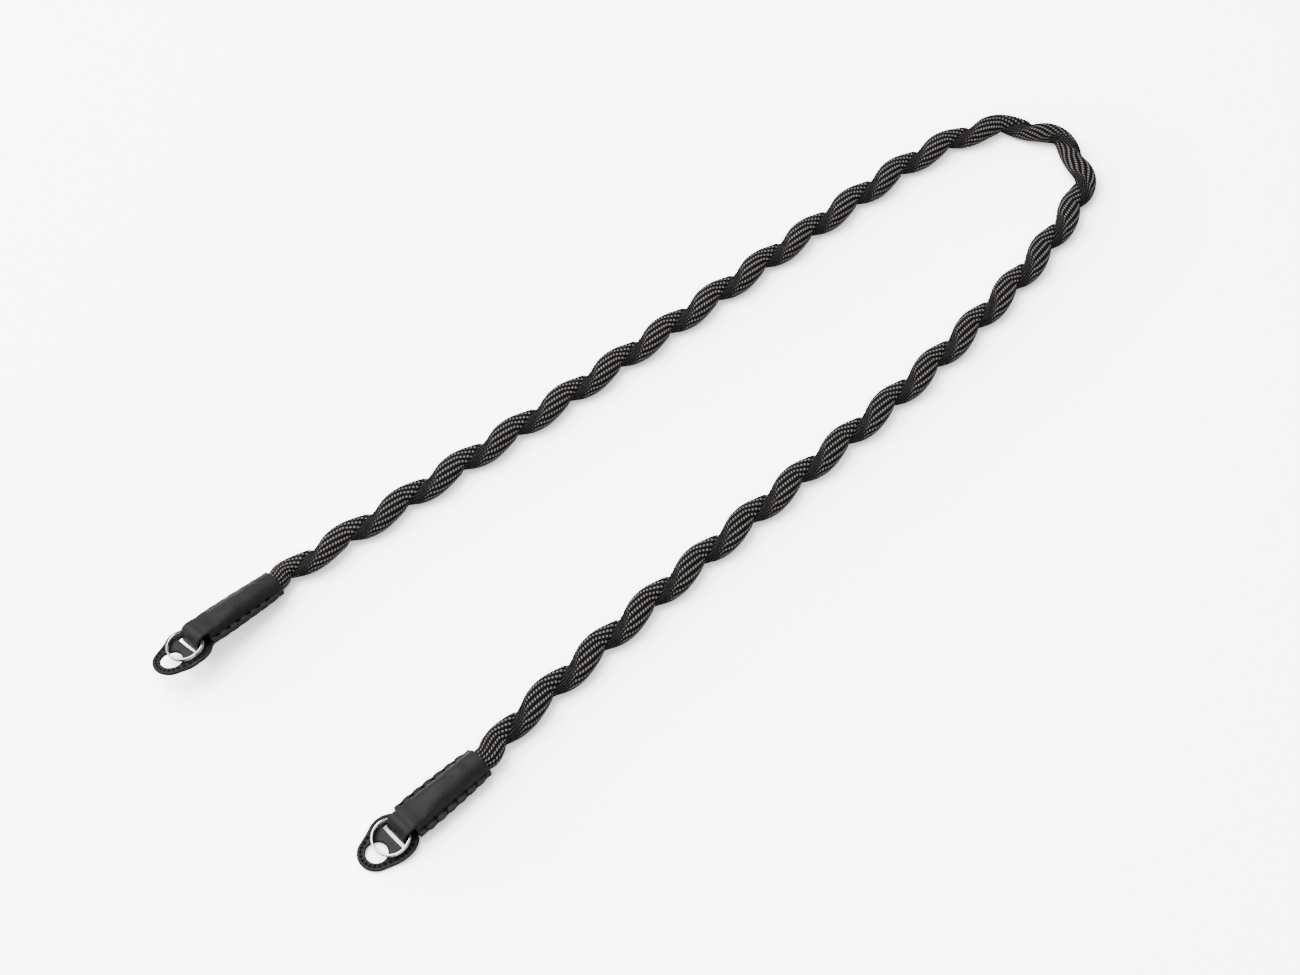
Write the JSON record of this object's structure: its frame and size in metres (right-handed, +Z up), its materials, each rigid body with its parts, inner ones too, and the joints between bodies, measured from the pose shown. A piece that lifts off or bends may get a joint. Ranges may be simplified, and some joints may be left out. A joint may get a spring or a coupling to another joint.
{
  "type": "camera neck strap",
  "caption": "Woven rope neck strap lying in a hairpin, each end sewn into a leather sleeve that folds over a steel split ring and holds an egg-shaped leather patch.",
  "frame": {"origin": "middle of the strap's footprint, on the table that it lies on", "axes": "+X along the hairpin towards its bend, +Z up from the table, and the left end lies on the +Y side"},
  "size_m": [0.496, 0.1394, 0.0161],
  "materials": {
    "woven_rope": "matt black weave with grey tracer dashes",
    "sleeve_leather": "smooth black leather with a soft sheen",
    "patch_leather": "fine-grained black leather",
    "ring_steel": "polished steel"
  },
  "bodies": {
    "strap": {"rope": "woven_rope", "left_sleeve": "sleeve_leather", "right_sleeve": "sleeve_leather", "left_patch": "patch_leather", "right_patch": "patch_leather"},
    "left_ring": {"left_ring": "ring_steel"},
    "right_ring": {"right_ring": "ring_steel"}
  },
  "joints": [
    {"name": "left_ring_swing", "type": "hinge", "parent": "strap", "child": "left_ring", "pos_m": [-0.22637, 0.06001, 0.01143], "axis": [-0.1148, 0.9736, -0.1972], "range_deg": [0, 130]},
    {"name": "right_ring_swing", "type": "hinge", "parent": "strap", "child": "right_ring", "pos_m": [-0.21305, -0.05953, 0.0054], "axis": [-0.0576, 0.9983, 0], "range_deg": [0, 130]}
  ]
}
